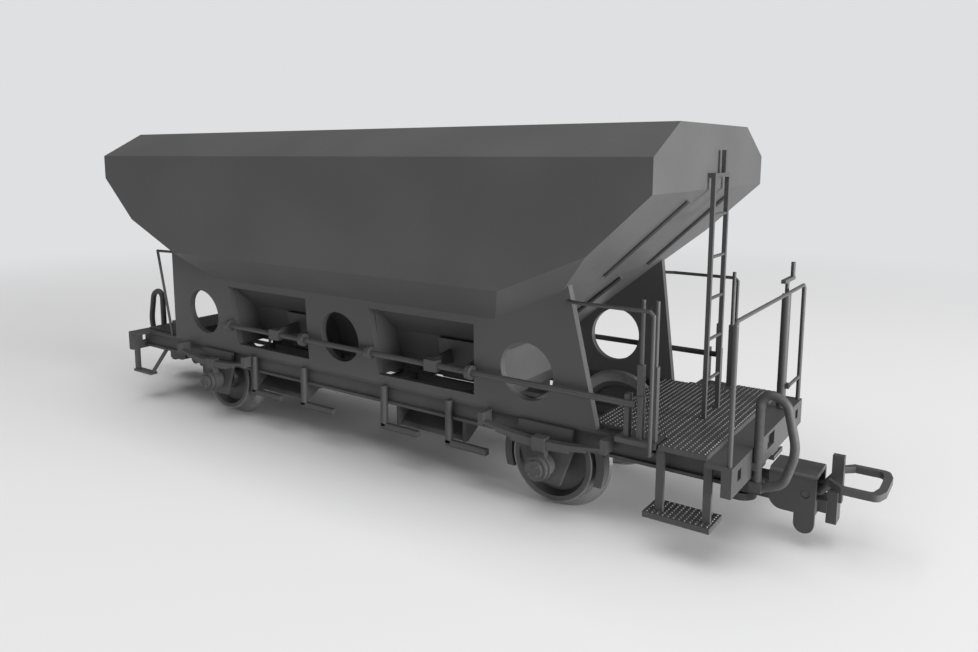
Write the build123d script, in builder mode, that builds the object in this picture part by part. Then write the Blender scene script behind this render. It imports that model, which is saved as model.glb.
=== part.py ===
from build123d import *
import os

os.makedirs("parts", exist_ok=True)

# Open hopper wagon, a 1:87 model on two axles, in millimetres.
# +X points to the end with the platform, +Y to the left, +Z up.
# The origin lies on the floor below the middle of the wagon.

# Overall sizes
hopper_length = 90.0
hopper_width = 34.0
rim_z = 43.4
frame_length = hopper_length + 9.4

# Wheels
tread_r = 5.1
flange_depth = 1.2
wheel_width = 2.8
back_to_back = 14.4
wheelbase = frame_length - 42.0
axle_r = 0.75
axle_half = 12.6
axle_z = tread_r + flange_depth
flange_r = tread_r + flange_depth

# Underframe
frame_half = frame_length / 2
beam_half_width = 13.4
beam_thick = 1.0
beam_bottom = 8.2
solebar_y = 11.2
solebar_top = 11.2
solebar_bottom = 8.6
solebar_web_y = 10.3
solebar_web = 0.5
solebar_flange = 0.35
member_bottom = 9.8

# Hopper, its sizes taken from its own middle
hopper_x = -2.5
hopper_half = hopper_length / 2
side_y = hopper_width / 2
rim_half_width = side_y - 6.4
crease_z = rim_z - 3.4
end_foot_z = rim_z - 6.8
wall = 0.9
kink_x = hopper_half - 6.7
kink_z = 30.4
slope_x = hopper_half - 10.9
slope_z = 26.4
side_foot_x = hopper_half - 16.7
side_foot_z = 26.1
plate_top_y = side_y - 4.0
band_foot_y = plate_top_y - 0.6
band_foot_z = 21.9
throat_x = hopper_half - 22.4
throat_z = 16.7
funnel_y = 7.4
funnel_z = 17.5
outlet_y = 6.2
outlet_z = 14.2
floor_y = 6.0
floor_z = 12.0
saddle_ridge_z = 20.5

# Side plates that carry the hopper on the solebars
plate_foot_y = solebar_y
plate_thick = 0.9
plate_top_half = hopper_half - 10.6
plate_foot_half = hopper_half - 7.8
plate_hole_r = 3.4
plate_hole_z = 16.4
plate_hole_x = hopper_half - 16.2
window_x = throat_x - 8.7
window_top_half = 8.15
window_foot_half = 7.5
window_top = 21.0
window_foot = 12.3
partition_thick = 0.6

# Discharge gear
shaft_y = 12.5
shaft_z = 15.3
shaft_r = 0.35
shaft_rear_x = hopper_x - throat_x - 0.1
shaft_front_x = hopper_x + hopper_half - 3.0
chute_half = 5.5
chute_plate = 0.5
chute_foot_y = 9.7
chute_foot_z = 5.7

# Platform end
deck_top = 11.7
deck_thick = 0.5
deck_inner_x = frame_half - 16.1
deck_step_x = frame_half - 7.5
deck_half_inner = 10.2
deck_half_outer = 12.8
beam_lip = 2.6
wire_r = 0.2
post_r = 0.25
rail_top_z = 25.1
hoop_y = 13.2
hoop_front_x = frame_half - 8.2
ladder_x = hopper_x + hopper_half + 0.6
ladder_half = 2.2
ladder_top = rim_z - 5.1
stile = 0.45
rung_r = 0.18
latch_y = 1.0
latch_top = ladder_top + 2.4
rung_first = 15.9
rung_count = 5
rung_pitch = (ladder_top - 4.4 - rung_first) / (rung_count - 1)
column_y = 8.0
column_r = 0.5
crank_z = 26.0
post_y = 12.9
lever_x = frame_half - 11.1
lever_y = 12.0
lever_top = 26.0
step_x = frame_half - 5.3
step_y = 11.5
step_z = 4.2
step_length = 6.8
step_width = 3.8
step_thick = 0.55
stirrup_y = 12.3
stirrup_z = 4.4
hose_y = -6.5
hose_r = 0.45

# Couplers, placed from the end beams
pivot_x = frame_half - 2.9
pivot_r = 0.8
coupler_half = 2.4
coupler_rear = frame_half + 0.6
coupler_front = frame_half + 5.2
coupler_top = 8.0
coupler_bottom = 3.7
coupler_wall = 0.5
shank_top = 6.2
shank_bottom = 4.15
fit = 0.05
loop_pin_x = frame_half + 4.2
loop_pin_z = 5.9
loop_pin_r = 0.4
loop_arm_y = 1.3
loop_back_x = frame_half + 6.3
loop_side_x = frame_half + 7.7
loop_tip_x = frame_half + 11.5
loop_z = 7.6
loop_half = 3.7
loop_bar = 0.7


def box(x0, x1, y0, y1, z0, z1, mode=Mode.ADD):
    """A box between two corners, for use inside a part block."""
    with Locations(((x0 + x1) / 2, (y0 + y1) / 2, (z0 + z1) / 2)):
        Box(x1 - x0, y1 - y0, z1 - z0, mode=mode)


def rod(points, r, mode=Mode.ADD):
    """A round rod through points, with ball joints at its bends."""
    for start, end in zip(points[:-1], points[1:]):
        axis = Vector(*end) - Vector(*start)
        with BuildSketch(Plane(origin=start, z_dir=axis)) as section:
            Circle(r)
        extrude(section.sketch, amount=axis.length, mode=mode)
    for bend in points[1:-1]:
        with Locations(bend):
            Sphere(r, mode=mode)


def polygon_face(*points, mode=Mode.ADD):
    """A sketch face with straight edges."""
    with BuildLine() as outline:
        Polyline(*points, close=True)
    make_face(outline.edges(), mode=mode)


def plate_y(z):
    """Outer face of the leaning side plate at a height."""
    lean = (plate_top_y - plate_foot_y) / (slope_z - solebar_top)
    return plate_foot_y + (z - solebar_top) * lean


pieces = {}


def save(part, name):
    """Keep a finished piece under its name."""
    pieces[name] = part


# Hopper: one closed form and its cavity, both from the same outlines
hopper_across = Plane.YZ.offset(hopper_x)
hopper_along = Plane(origin=(hopper_x, 0, 0), x_dir=(1, 0, 0), z_dir=(0, -1, 0))
side_names = ((1, "left"), (-1, "right"))
end_names = ((1, "front"), (-1, "rear"))


def symmetric_face(*points):
    """A sketch face from the right half of an outline, top to bottom."""
    with BuildLine() as outline:
        Polyline(*points)
        mirror(about=Plane.YZ)
    make_face(outline.edges())


def chamfer_plane(end, side, inset):
    """Lower corner face between the side, the band and the end slope."""
    kink = Vector(hopper_x + end * kink_x, side * side_y, kink_z)
    foot = Vector(hopper_x + end * side_foot_x, side * side_y, side_foot_z)
    inner = Vector(hopper_x + end * (slope_x - 0.4), side * plate_top_y, slope_z - 0.4)
    normal = (foot - kink).cross(inner - kink).normalized()
    if normal.Z < 0:
        normal = normal * -1
    return Plane(origin=kink + normal * inset, z_dir=normal)


def end_outline(rise, drop):
    """The hopper's outline seen from the side, in a sketch."""
    symmetric_face(
        (0, rim_z + rise),
        (hopper_half, rim_z + rise),
        (hopper_half, end_foot_z),
        (slope_x, slope_z),
        (throat_x, throat_z),
        (throat_x, floor_z - drop),
        (0, floor_z - drop),
    )


def hopper_block(inset):
    """The hopper's outer form, or with an inset the space inside its walls."""
    with BuildPart() as upper:
        with BuildSketch(hopper_across):
            symmetric_face(
                (0, rim_z),
                (rim_half_width, rim_z),
                (side_y, crease_z),
                (side_y, side_foot_z),
                (band_foot_y, band_foot_z),
                (0, band_foot_z),
            )
            if inset:
                offset(amount=-inset, kind=Kind.INTERSECTION)
        extrude(amount=hopper_half, both=True)
        for end, _ in end_names:
            for side, _ in side_names:
                split(bisect_by=chamfer_plane(end, side, inset), keep=Keep.TOP)
    with BuildPart() as block:
        with BuildSketch(hopper_across):
            symmetric_face(
                (0, slope_z),
                (plate_y(slope_z) - plate_thick, slope_z),
                (plate_y(floor_z) - plate_thick, floor_z),
                (0, floor_z),
            )
            if inset:
                offset(amount=-inset, kind=Kind.INTERSECTION)
                with Locations((0, slope_z)):
                    Rectangle(2 * (plate_y(slope_z) - plate_thick - 2 * inset), 4 * inset)
        extrude(amount=hopper_half, both=True)
        add(upper.part)
        if inset:
            lean = (crease_z - rim_z) / (rim_half_width - side_y)
            mouth = rim_half_width - inset * (1 + lean**-2) ** 0.5
            box(hopper_x - hopper_half, hopper_x + hopper_half, -mouth, mouth, crease_z - inset, rim_z + 1)
        with BuildSketch(hopper_along):
            end_outline(4 * inset, 0)
            if inset:
                offset(amount=-inset, kind=Kind.INTERSECTION)
        extrude(amount=side_y, both=True, mode=Mode.INTERSECT)
        with BuildSketch(hopper_across):
            polygon_face(
                (side_y, side_foot_z),
                (band_foot_y, band_foot_z),
                (funnel_y, funnel_z),
                (outlet_y, outlet_z),
                (floor_y, floor_z),
                (floor_y, floor_z - 1),
                (side_y + 1, floor_z - 1),
                (side_y + 1, side_foot_z),
            )
            if inset:
                offset(amount=inset, kind=Kind.INTERSECTION)
            mirror(about=Plane.YZ)
        extrude(amount=throat_x + inset, both=True, mode=Mode.SUBTRACT)
    return block.part


hopper_form = hopper_block(0)
with BuildPart() as hopper_shell:
    add(hopper_form)
    add(hopper_block(wall), mode=Mode.SUBTRACT)
with BuildPart() as between_ends:
    with BuildSketch(hopper_along):
        end_outline(4, 4)
        offset(amount=-wall, kind=Kind.INTERSECTION)
    extrude(amount=side_y + 1, both=True)

for end, name in end_names:
    with BuildPart() as hopper_end:
        add(hopper_shell.part)
        add(between_ends.part, mode=Mode.SUBTRACT)
        split(bisect_by=hopper_across, keep=Keep.TOP if end > 0 else Keep.BOTTOM)
    save(hopper_end.part, f"hopper_end_{name}")

with BuildPart() as hopper_sides:
    add(hopper_shell.part)
    add(between_ends.part, mode=Mode.INTERSECT)
for side, name in side_names:
    half = Keep.BOTTOM if side > 0 else Keep.TOP
    with BuildPart() as hopper_side:
        add(hopper_sides.part)
        split(bisect_by=Plane.XZ, keep=half)
        split(bisect_by=Plane.XY.offset(crease_z), keep=Keep.BOTTOM)
    save(hopper_side.part, f"hopper_side_{name}")
    with BuildPart() as rim_panel:
        add(hopper_sides.part)
        split(bisect_by=Plane.XZ, keep=half)
        split(bisect_by=Plane.XY.offset(crease_z), keep=Keep.TOP)
    save(rim_panel.part, f"rim_panel_{name}")

# Saddle roof that turns the load to both sides
with BuildPart() as hopper_saddle:
    with BuildSketch(hopper_across):
        symmetric_face(
            (0, saddle_ridge_z),
            (outlet_y - 2 * wall, floor_z + wall),
            (0, floor_z + wall),
        )
    extrude(amount=throat_x - wall, both=True)
save(hopper_saddle.part, "hopper_saddle")

# Side plates with three round holes and two discharge windows each
for side, name in side_names:
    with BuildPart() as side_plate:
        with BuildSketch(hopper_along):
            polygon_face(
                (-plate_foot_half, solebar_top),
                (plate_foot_half, solebar_top),
                (plate_top_half, slope_z + wall),
                (-plate_top_half, slope_z + wall),
            )
            for x in (-plate_hole_x, 0, plate_hole_x):
                with Locations((x, plate_hole_z)):
                    Circle(plate_hole_r, mode=Mode.SUBTRACT)
            for x in (-window_x, window_x):
                polygon_face(
                    (x - window_foot_half, window_foot),
                    (x + window_foot_half, window_foot),
                    (x + window_top_half, window_top),
                    (x - window_top_half, window_top),
                    mode=Mode.SUBTRACT,
                )
        extrude(amount=side_y, both=True)
        with BuildSketch(hopper_across):
            polygon_face(
                (side * plate_y(solebar_top), solebar_top),
                (side * plate_y(slope_z + wall), slope_z + wall),
                (side * (plate_y(slope_z + wall) - plate_thick), slope_z + wall),
                (side * (plate_y(solebar_top) - plate_thick), solebar_top),
            )
        extrude(amount=hopper_half, both=True, mode=Mode.INTERSECT)
        add(hopper_form, mode=Mode.SUBTRACT)
    save(side_plate.part, f"side_plate_{name}")

# Cross walls between funnel and side plates, beside each window
wall_places = (-throat_x, -window_x + window_top_half, window_x - window_top_half, throat_x)
for side, name in side_names:
    with BuildPart() as cross_walls:
        for x in wall_places:
            with BuildSketch(hopper_across.offset(x - partition_thick / 2)):
                polygon_face(
                    (side * floor_y, floor_z),
                    (side * (plate_y(floor_z) - plate_thick), floor_z),
                    (side * (plate_y(band_foot_z) - plate_thick), band_foot_z),
                    (side * floor_y, band_foot_z),
                )
            extrude(amount=partition_thick)
        add(hopper_form, mode=Mode.SUBTRACT)
    save(cross_walls.part, f"cross_walls_{name}")

# Discharge chutes: two troughs a side, falling outwards below the solebar
for side, name in side_names:
    with BuildPart() as chutes:
        for bay in (-window_x, window_x):
            with BuildSketch(hopper_across.offset(bay - chute_half)):
                polygon_face(
                    (side * (floor_y + 0.02), floor_z - 0.2),
                    (side * (chute_foot_y + 0.5), floor_z - 0.2),
                    (side * (chute_foot_y + 0.5), chute_foot_z),
                    (side * chute_foot_y, chute_foot_z),
                    (side * (floor_y + 0.02), chute_foot_z + 2.2),
                )
            extrude(amount=2 * chute_half)
            x0 = hopper_x + bay - chute_half + chute_plate
            x1 = hopper_x + bay + chute_half - chute_plate
            with BuildSketch(hopper_across.offset(bay - chute_half + chute_plate)):
                polygon_face(
                    (side * (chute_foot_y + 1), floor_z),
                    (side * (chute_foot_y + 1), chute_foot_z - 1),
                    (side * (chute_foot_y - 0.1), chute_foot_z + chute_plate),
                    (side * (floor_y + 0.02 + chute_plate), chute_foot_z + 2.7),
                    (side * (floor_y + 0.02 + chute_plate), floor_z),
                )
            extrude(amount=x1 - x0, mode=Mode.SUBTRACT)
    save(chutes.part, f"discharge_chutes_{name}")

# Flaps on the steep part of the funnel, hung below the shaft
for side, name in side_names:
    with BuildPart() as flaps:
        for bay in (-window_x, window_x):
            with BuildSketch(hopper_across.offset(bay - 0.4)):
                polygon_face(
                    (side * (funnel_y + 0.05), funnel_z),
                    (side * (funnel_y + 0.65), funnel_z),
                    (side * (floor_y + 1.0), floor_z + 0.2),
                    (side * (floor_y + 0.1), floor_z + 0.2),
                    (side * (outlet_y + 0.03), outlet_z),
                )
            extrude(amount=window_foot_half)
            x = hopper_x + bay + 4.0
            for arm in (x - 2.6, x + 2.6):
                with BuildSketch(Plane.YZ.offset(arm - 0.25)):
                    polygon_face(
                        (side * (outlet_y + 0.7), outlet_z + 0.2),
                        (side * (outlet_y + 1.1), outlet_z + 2.0),
                        (side * (shaft_y - 0.5), shaft_z + 0.45),
                        (side * (shaft_y - 0.5), shaft_z - 0.45),
                    )
                extrude(amount=0.5)
        add(hopper_form, mode=Mode.SUBTRACT)
    save(flaps.part, f"discharge_flaps_{name}")

# Control shafts along both sides, in forked brackets at the windows
bracket_places = (-window_x - 8.2, -window_x + 7.4, window_x - 8.2, window_x + 7.4)
sleeve_places = (-window_x + 2.2, window_x + 2.2)
for side, name in side_names:
    with BuildPart() as shaft:
        rod([(shaft_rear_x, side * shaft_y, shaft_z), (shaft_front_x, side * shaft_y, shaft_z)], shaft_r)
        for x in sleeve_places:
            with Locations((hopper_x + x, side * shaft_y, shaft_z)):
                Box(1.8, 1.1, 1.4)
    save(shaft.part, f"control_shaft_{name}")
    with BuildPart() as brackets:
        for x in bracket_places:
            y_in = plate_y(shaft_z)
            with BuildSketch(Plane.YZ.offset(hopper_x + x)):
                with Locations((side * shaft_y, shaft_z)):
                    Circle(shaft_r + 0.5)
                    with Locations((-side * (shaft_y - y_in + 0.25) / 2, 0)):
                        Rectangle(shaft_y - y_in + 0.25, 1.2)
                    Circle(shaft_r, mode=Mode.SUBTRACT)
            extrude(amount=0.6)
        add(pieces[f"side_plate_{name}"], mode=Mode.SUBTRACT)
    save(brackets.part, f"shaft_brackets_{name}")

# Underframe: channel solebars, end beams and cross members
for side, name in side_names:
    with BuildPart() as solebar:
        with BuildSketch(Plane.YZ):
            polygon_face(
                (side * solebar_web_y, solebar_bottom),
                (side * solebar_y, solebar_bottom),
                (side * solebar_y, solebar_bottom + solebar_flange),
                (side * (solebar_web_y + solebar_web), solebar_bottom + solebar_flange),
                (side * (solebar_web_y + solebar_web), solebar_top - solebar_flange),
                (side * solebar_y, solebar_top - solebar_flange),
                (side * solebar_y, solebar_top),
                (side * solebar_web_y, solebar_top),
            )
        extrude(amount=frame_half - beam_thick, both=True)
    save(solebar.part, f"solebar_{name}")

for end, name in end_names:
    with BuildPart() as end_beam:
        face = end * frame_half
        back = end * (frame_half - beam_thick)
        box(min(face, back), max(face, back), -beam_half_width, beam_half_width, beam_bottom, solebar_top)
        inner = end * (frame_half - beam_lip)
        for y0, y1 in (
            (-beam_half_width, -solebar_y),
            (-solebar_web_y, solebar_web_y),
            (solebar_y, beam_half_width),
        ):
            box(min(back, inner), max(back, inner), y0, y1, solebar_top - 0.4, solebar_top)
        with BuildSketch(Plane.YZ.offset(face)):
            with Locations((0, (beam_bottom + solebar_top) / 2 + 0.4)):
                Rectangle(2.6, 1.5)
        extrude(amount=-end * 0.5, mode=Mode.SUBTRACT)
        for y in (-11.0, 11.0):
            with BuildSketch(Plane.YZ.offset(face)):
                with Locations((y, (beam_bottom + solebar_top) / 2 + 0.2)):
                    Rectangle(1.1, 1.1)
            extrude(amount=-end * beam_thick, mode=Mode.SUBTRACT)
    save(end_beam.part, f"end_beam_{name}")

member_places = (
    (-frame_half + 13.7, solebar_top),
    (hopper_x - throat_x + 2.6, floor_z),
    (hopper_x - 5.5, floor_z),
    (hopper_x + 5.5, floor_z),
    (hopper_x + throat_x - 1.9, floor_z),
    (frame_half - 13.7, solebar_top),
)
with BuildPart() as cross_members:
    for x, top in member_places:
        box(x - 0.4, x + 0.4, -floor_y + 0.2, floor_y - 0.2, member_bottom, top)
        box(x - 0.4, x + 0.4, -solebar_web_y, solebar_web_y, member_bottom, solebar_top)
save(cross_members.part, "cross_members")

# Axle guards, axleboxes and leaf springs at the four wheels
wheel_places = [(x, side) for x in (-wheelbase / 2, wheelbase / 2) for side in (1, -1)]
guard_y = solebar_y
guard_thick = 0.5
guard_half = 3.4
box_r = 1.35
box_end_y = 14.2
spring_y = 12.6
spring_half = 7.6
spring_leaves = ((7.6, 0.0), (5.6, 0.3), (3.6, 0.6))
spring_z = axle_z + box_r + 0.55


def facing(side, y):
    """Upright plane at a distance from the middle, facing outwards."""
    return Plane(origin=(0, side * y, 0), x_dir=(side * -1, 0, 0), z_dir=(0, side, 0))


with BuildPart() as axle_guards:
    for x, side in wheel_places:
        with BuildSketch(facing(side, guard_y)):
            mid = -side * x
            polygon_face(
                (mid - guard_half, solebar_top - 0.4),
                (mid + guard_half, solebar_top - 0.4),
                (mid + guard_half, solebar_bottom - 0.4),
                (mid + 1.9, axle_z - 2.2),
                (mid - 1.9, axle_z - 2.2),
                (mid - guard_half, solebar_bottom - 0.4),
            )
            with Locations((mid, axle_z)):
                Circle(axle_r + fit, mode=Mode.SUBTRACT)
        extrude(amount=guard_thick)
save(axle_guards.part, "axle_guards")

with BuildPart() as axleboxes:
    for x, side in wheel_places:
        for r, near, far in ((box_r, 0.0, 2.1), (box_r + 0.2, 1.2, 1.5), (box_r - 0.35, 2.0, 2.5)):
            with BuildSketch(facing(side, guard_y + guard_thick + near)):
                with Locations((-side * x, axle_z)):
                    Circle(r)
            extrude(amount=far - near)
        with BuildSketch(facing(side, guard_y + guard_thick)):
            with Locations((-side * x, axle_z)):
                Circle(axle_r + fit)
        extrude(amount=axle_half - guard_y - guard_thick + 2 * fit, mode=Mode.SUBTRACT)
        with BuildSketch(facing(side, spring_y - 0.45)):
            with Locations((-side * x, (axle_z + box_r + spring_z) / 2)):
                Rectangle(1.5, spring_z - axle_z - box_r + 0.4)
        extrude(amount=0.9)
save(axleboxes.part, "axleboxes")

with BuildPart() as leaf_springs:
    for x, side in wheel_places:
        for half, drop in spring_leaves:
            with BuildSketch(facing(side, spring_y - 0.5)):
                rise = 0.7 * (half / spring_half) ** 2
                with BuildLine() as leaf:
                    low = spring_z - drop + 0.9
                    mid = -side * x
                    near = mid - half
                    far = mid + half
                    tip = low + rise
                    ThreePointArc((near, tip), (mid, low), (far, tip))
                    Line((far, tip), (far, tip + 0.3))
                    ThreePointArc((far, tip + 0.3), (mid, low + 0.3), (near, tip + 0.3))
                    Line((near, tip + 0.3), (near, tip))
                make_face(leaf.edges())
            extrude(amount=1.0)
        box(x - 0.8, x + 0.8, side * spring_y - 0.65, side * spring_y + 0.65, spring_z, spring_z + 1.5)
save(leaf_springs.part, "leaf_springs")

with BuildPart() as spring_brackets:
    for x, side in wheel_places:
        for end in (-1, 1):
            x_b = x + end * (spring_half + 0.1)
            y_in = side * solebar_y
            y_out = side * (spring_y + 0.5)
            box(x_b - 0.35, x_b + 0.35, min(y_in, y_out), max(y_in, y_out), spring_z + 1.3, solebar_top - 0.2)
save(spring_brackets.part, "spring_brackets")

# Wheels on their axles
for end, name in end_names:
    x_axle = end * wheelbase / 2
    with BuildPart() as axle:
        with BuildSketch(Plane.XY):
            with BuildLine() as half_axle:
                Polyline(
                    (0, -axle_half),
                    (axle_r * 0.4, -axle_half),
                    (axle_r, -axle_half + 0.8),
                    (axle_r, axle_half - 0.8),
                    (axle_r * 0.4, axle_half),
                    (0, axle_half),
                    close=True,
                )
            make_face(half_axle.edges())
        revolve(axis=Axis.Y)
    axle.part = axle.part.moved(Location((x_axle, 0, axle_z)))
    save(axle.part, f"axle_{name}")
    with BuildPart() as wheels:
        with BuildSketch(Plane.XY):
            inner_y = back_to_back / 2
            with BuildLine() as rim_section:
                Polyline(
                    (axle_r, inner_y),
                    (axle_r + 1.0, inner_y),
                    (axle_r + 1.2, inner_y + 0.7),
                    (tread_r - 1.1, inner_y + 0.7),
                    (tread_r - 0.8, inner_y),
                    (flange_r - 0.3, inner_y),
                    (flange_r, inner_y + 0.3),
                    (flange_r - 0.25, inner_y + 0.7),
                    (tread_r + 0.15, inner_y + 1.0),
                    (tread_r, inner_y + 1.4),
                    (tread_r - 0.1, inner_y + wheel_width),
                    (tread_r - 0.8, inner_y + wheel_width),
                    (tread_r - 1.2, inner_y + wheel_width - 1.0),
                    (axle_r + 1.3, inner_y + wheel_width - 1.0),
                    (axle_r + 0.9, inner_y + wheel_width),
                    (axle_r, inner_y + wheel_width),
                    close=True,
                )
            make_face(rim_section.edges())
            mirror(about=Plane.XZ)
        revolve(axis=Axis.Y)
    wheels.part = wheels.part.moved(Location((x_axle, 0, axle_z)))
    save(wheels.part, f"wheels_{name}")

# Brake shoes on both sides of every wheel, hung from cross rods
shoe_r = tread_r + 0.35
hanger_x = 6.3
with BuildPart() as brake_shoes:
    for x, side in wheel_places:
        for end in (-1, 1):
            with BuildSketch(facing(side, back_to_back / 2 + 1.25)):
                with Locations((-side * x, axle_z)):
                    Circle(shoe_r + 0.9)
                    Circle(shoe_r, mode=Mode.SUBTRACT)
                    with Locations((-side * end * 5.5, 0)):
                        Rectangle(5.0, 4.2, mode=Mode.INTERSECT)
            extrude(amount=1.4)
            y_mid = side * (back_to_back / 2 + 1.95)
            rod([(x + end * (shoe_r + 0.6), y_mid, axle_z + 0.6), (x + end * hanger_x, y_mid, 9.9)], 0.3)
save(brake_shoes.part, "brake_shoes")

with BuildPart() as brake_rods:
    for x in (-wheelbase / 2, wheelbase / 2):
        for end in (-1, 1):
            x_r = x + end * hanger_x
            rod([(x_r, -solebar_web_y, 10.1), (x_r, solebar_web_y, 10.1)], 0.35)
    for y in (-1.6, 1.6):
        rod([(-wheelbase / 2 - hanger_x, y, 9.7), (wheelbase / 2 + hanger_x, y, 9.7)], 0.3)
save(brake_rods.part, "brake_rods")

# Platform: deck of grating, tread strip on the beam, rails and ladder
with BuildPart() as platform_deck:
    box(deck_inner_x, frame_half - beam_lip, -deck_half_inner, deck_half_inner, solebar_top, deck_top)
    box(deck_step_x, frame_half - beam_lip, -deck_half_outer, deck_half_outer, solebar_top, deck_top)
save(platform_deck.part, "platform_deck")

with BuildPart() as rear_deck:
    box(-frame_half + beam_thick, -frame_half + 8.7, -deck_half_inner, deck_half_inner, solebar_top, deck_top - 0.2)
save(rear_deck.part, "rear_deck")

for side, name in side_names:
    with BuildPart() as hoop:
        rod(
            [
                (hopper_x + plate_top_half - 0.1, side * (plate_y(rail_top_z) - 0.1), rail_top_z),
                (hopper_x + plate_top_half + 1.5, side * hoop_y, rail_top_z),
                (hoop_front_x - 0.4, side * hoop_y, rail_top_z),
                (hoop_front_x, side * hoop_y, rail_top_z - 0.4),
                (hoop_front_x, side * hoop_y, solebar_top - 0.6),
                (hoop_front_x, side * solebar_y, solebar_top - 0.6),
            ],
            wire_r,
        )
    save(hoop.part, f"handrail_{name}")
    with BuildPart() as rear_rail:
        x_out = hopper_x - plate_top_half - 3.6
        rod(
            [
                (hopper_x - plate_top_half, side * (plate_y(rail_top_z) - 0.1), rail_top_z + 0.2),
                (x_out, side * hoop_y, rail_top_z + 0.2),
                (x_out - 0.6, side * (solebar_y - 0.3), solebar_top - 0.1),
            ],
            wire_r,
        )
    save(rear_rail.part, f"rear_handrail_{name}")

with BuildPart() as end_railing:
    x_post = frame_half - 0.4
    for side in (-1, 1):
        rod([(x_post, side * post_y, beam_bottom + 0.3), (x_post, side * post_y, rail_top_z - 0.4)], post_r)
    rod(
        [
            (x_post, -post_y, rail_top_z - 0.4),
            (x_post, -post_y + 0.4, rail_top_z),
            (x_post, post_y - 0.4, rail_top_z),
            (x_post, post_y, rail_top_z - 0.4),
        ],
        wire_r,
    )
    rod([(x_post, column_y, 14.0), (x_post, post_y, 14.0)], wire_r)
    for side in (-1, 1):
        with Locations((x_post, side * post_y, rail_top_z - 0.4)):
            Sphere(post_r)
save(end_railing.part, "end_railing")

column_x = x_post - 0.75
with BuildPart() as handbrake_column:
    rod([(column_x, column_y, deck_top - 0.3), (column_x, column_y, crank_z - 1.4)], column_r)
    rod([(column_x, column_y, crank_z - 1.4), (column_x, column_y, crank_z)], 0.22)
    box(column_x - 0.45, x_post + 0.1, column_y - 0.3, column_y + 0.3, 13.7, 14.3)
save(handbrake_column.part, "handbrake_column")

with BuildPart() as handbrake_crank:
    grip_y = column_y + 2.3
    box(column_x - 0.25, column_x + 0.25, column_y - 1.8, grip_y + 0.3, crank_z, crank_z + 0.4)
    rod([(column_x, grip_y, crank_z + 0.3), (column_x, grip_y, crank_z + 2.0)], 0.25)
save(handbrake_crank.part, "handbrake_crank")

with BuildPart() as ladder:
    for side in (-1, 1):
        y_in = side * ladder_half - stile / 2
        y_out = side * ladder_half + stile / 2
        box(ladder_x - stile / 2, ladder_x + stile / 2, y_in, y_out, deck_top - 0.2, ladder_top)
        box(hopper_x + hopper_half - 0.1, ladder_x - stile / 2, y_in, y_out, ladder_top - stile, ladder_top)
    for k in range(rung_count):
        z = rung_first + k * rung_pitch
        rod([(ladder_x, -ladder_half, z), (ladder_x, ladder_half, z)], rung_r)
    box(ladder_x - stile / 2, ladder_x + stile / 2, -ladder_half, ladder_half, ladder_top - stile, ladder_top)
    box(ladder_x - stile / 2, ladder_x + stile / 2, latch_y - 0.3, latch_y + 0.3, ladder_top - stile, latch_top)
save(ladder.part, "ladder")

for side, name in side_names:
    with BuildPart() as step:
        with Locations((step_x, side * step_y, step_z + step_thick / 2)):
            Box(step_length, step_width, step_thick)
        for x in (step_x - 2.0, step_x + 2.8):
            hanger_y = side * (step_y + 0.9)
            box(x - 0.4, x + 0.4, hanger_y - 0.2, hanger_y + 0.2, step_z + 0.4, solebar_top)
    save(step.part, f"step_{name}")
    with BuildPart() as stirrup:
        x_f = -frame_half + 0.5
        y_f = side * stirrup_y
        box(x_f - 0.4, x_f + 0.4, y_f - 0.3, y_f + 0.3, stirrup_z, beam_bottom + 0.3)
        box(x_f - 0.4, x_f + 4.4, y_f - 0.6, y_f + 0.6, stirrup_z, stirrup_z + 0.4)
        rod(
            [
                (x_f + 4.0, y_f, stirrup_z + 0.2),
                (x_f + 6.6, side * (solebar_y - 0.2), solebar_bottom + 0.3),
            ],
            0.3,
        )
    save(stirrup.part, f"stirrup_{name}")

# Release levers on both sides of the platform
for side, name in side_names:
    with BuildPart() as levers:
        y0 = side * lever_y
        with Locations((lever_x + 1.2, side * (lever_y - 0.4), solebar_top + 0.25)):
            Box(4.4, 2.8, 0.5)
        for x in (lever_x, lever_x + 1.4):
            box(x - 0.25, x + 0.25, y0 - 0.5, y0 + 0.5, solebar_top + 0.3, shaft_z + 0.9)
        for x, foot in ((lever_x + 1.3, shaft_z + 0.1), (lever_x + 2.8, solebar_top + 0.3)):
            box(x - 0.3, x + 0.3, y0 - 0.35, y0 + 0.35, foot, shaft_z + 4.1)
            rod([(x, y0, shaft_z + 3.9), (x, y0, lever_top)], 0.22)
    save(levers.part, f"release_levers_{name}")

# Brake hoses, a hanging loop before each end beam
for end, name in end_names:
    with BuildPart() as hose:
        x_pipe = end * (frame_half + 0.45)
        with BuildLine() as route:
            FilletPolyline(
                (x_pipe, hose_y, 6.9),
                (x_pipe, hose_y, 17.3),
                (x_pipe + end * 2.5, hose_y, 16.4),
                (x_pipe + end * 3.6, hose_y, 11.6),
                (x_pipe + end * 2.5, hose_y, 8.0),
                (x_pipe + end * 0.5, hose_y, 7.2),
                radius=(1.1, 1.5, 5.0, 1.6),
            )
        with BuildSketch(Plane(origin=(x_pipe, hose_y, 6.9), z_dir=(0, 0, 1))):
            Circle(hose_r)
        sweep(path=route.wires()[0])
        with Locations((x_pipe, hose_y, 7.3)):
            Box(1.2, 1.2, 1.0)
        with Locations((end * (frame_half + 0.2), hose_y, 9.4)):
            Box(0.6, 1.0, 0.8)
    save(hose.part, f"brake_hose_{name}")

# Couplers: pocket and pivot pin on the frame, head and loop moving
def along(end, a, b):
    """Order two distances from the middle for one end."""
    return (min(end * a, end * b), max(end * a, end * b))


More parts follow.
